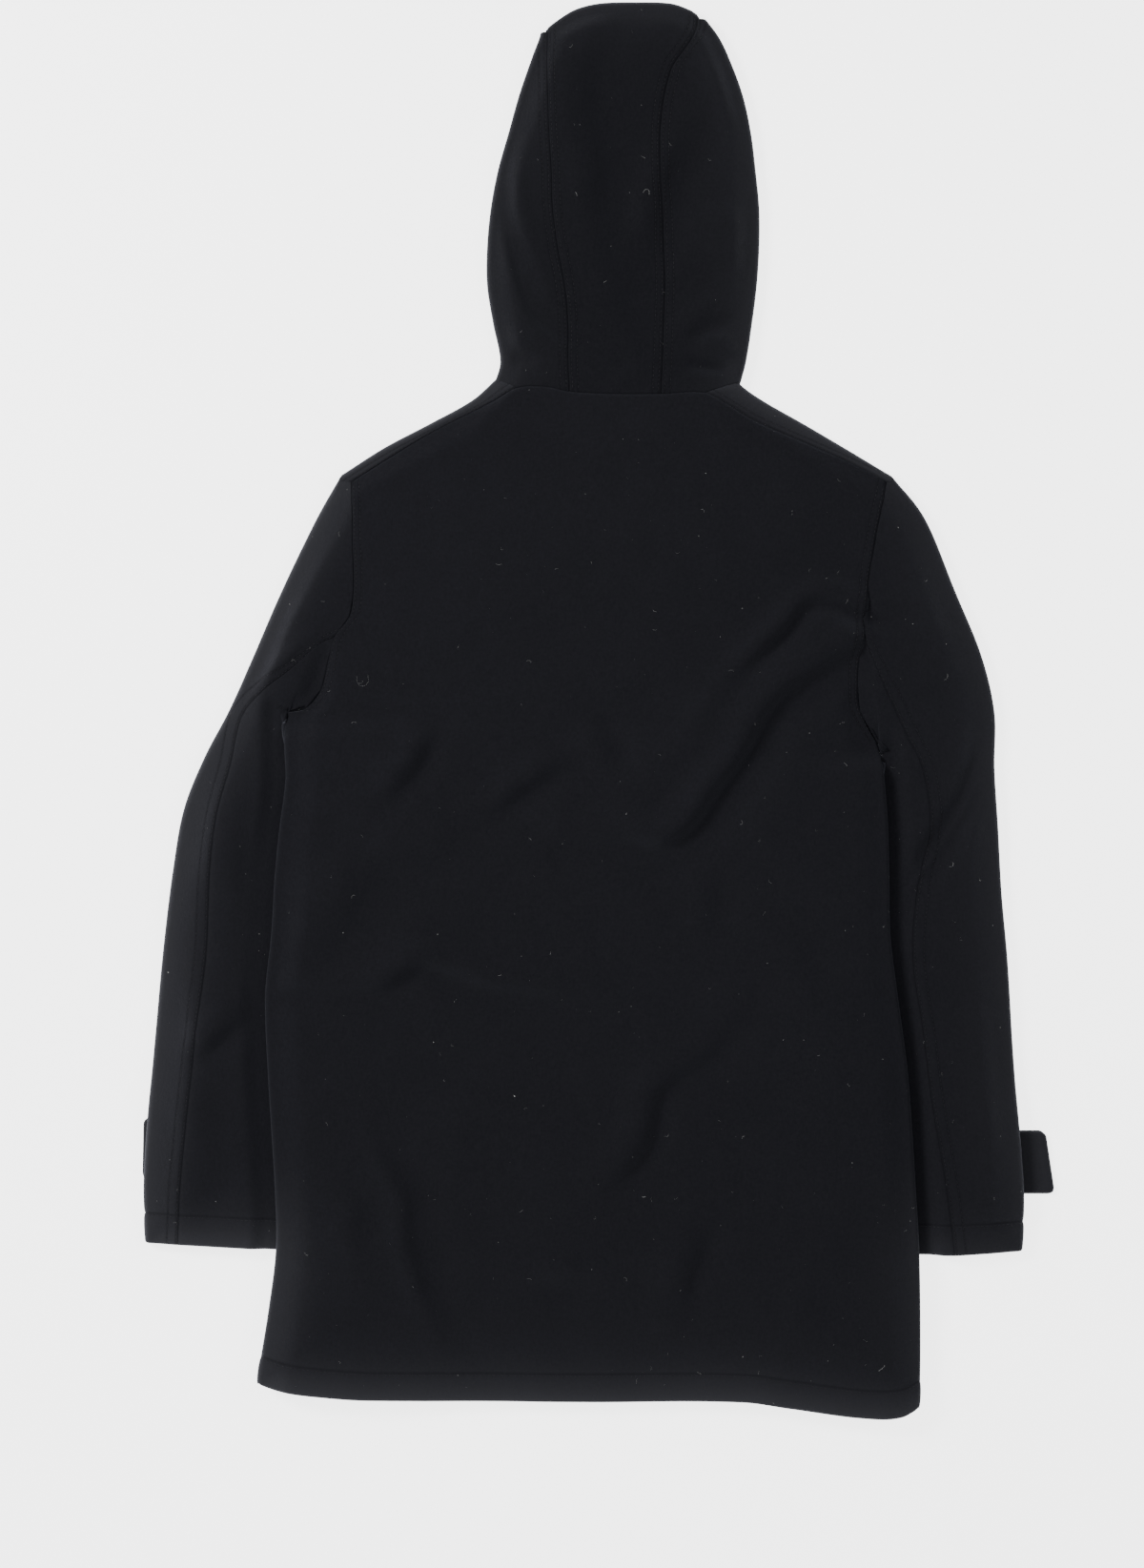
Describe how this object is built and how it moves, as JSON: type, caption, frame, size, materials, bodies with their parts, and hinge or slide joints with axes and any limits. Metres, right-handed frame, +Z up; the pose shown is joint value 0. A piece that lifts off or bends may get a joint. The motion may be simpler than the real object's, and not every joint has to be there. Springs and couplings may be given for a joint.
{
  "type": "hooded coat",
  "caption": "Thigh-length hooded coat in heavy napped wool, laid flat face down with its sleeves beside the body.",
  "frame": {"origin": "on the floor, under the middle of the laid coat's bounding box", "axes": "+Y from the hem to the hood, +X toward the wearer's right sleeve, +Z up out of the back"},
  "size_m": [0.764, 1.1838, 0.023],
  "materials": {
    "melton": "near-black navy wool cloth with a short raised nap, matt, a little lighter at grazing angles"
  },
  "bodies": {
    "root": {"back": "melton", "front_left": "melton", "front_right": "melton", "sleeve_left_top": "melton", "sleeve_left_under": "melton", "sleeve_right_top": "melton", "sleeve_right_under": "melton", "hood_centre": "melton", "hood_left": "melton", "hood_right": "melton", "cuff_tab_left": "melton", "cuff_tab_right": "melton"}
  },
  "joints": []
}
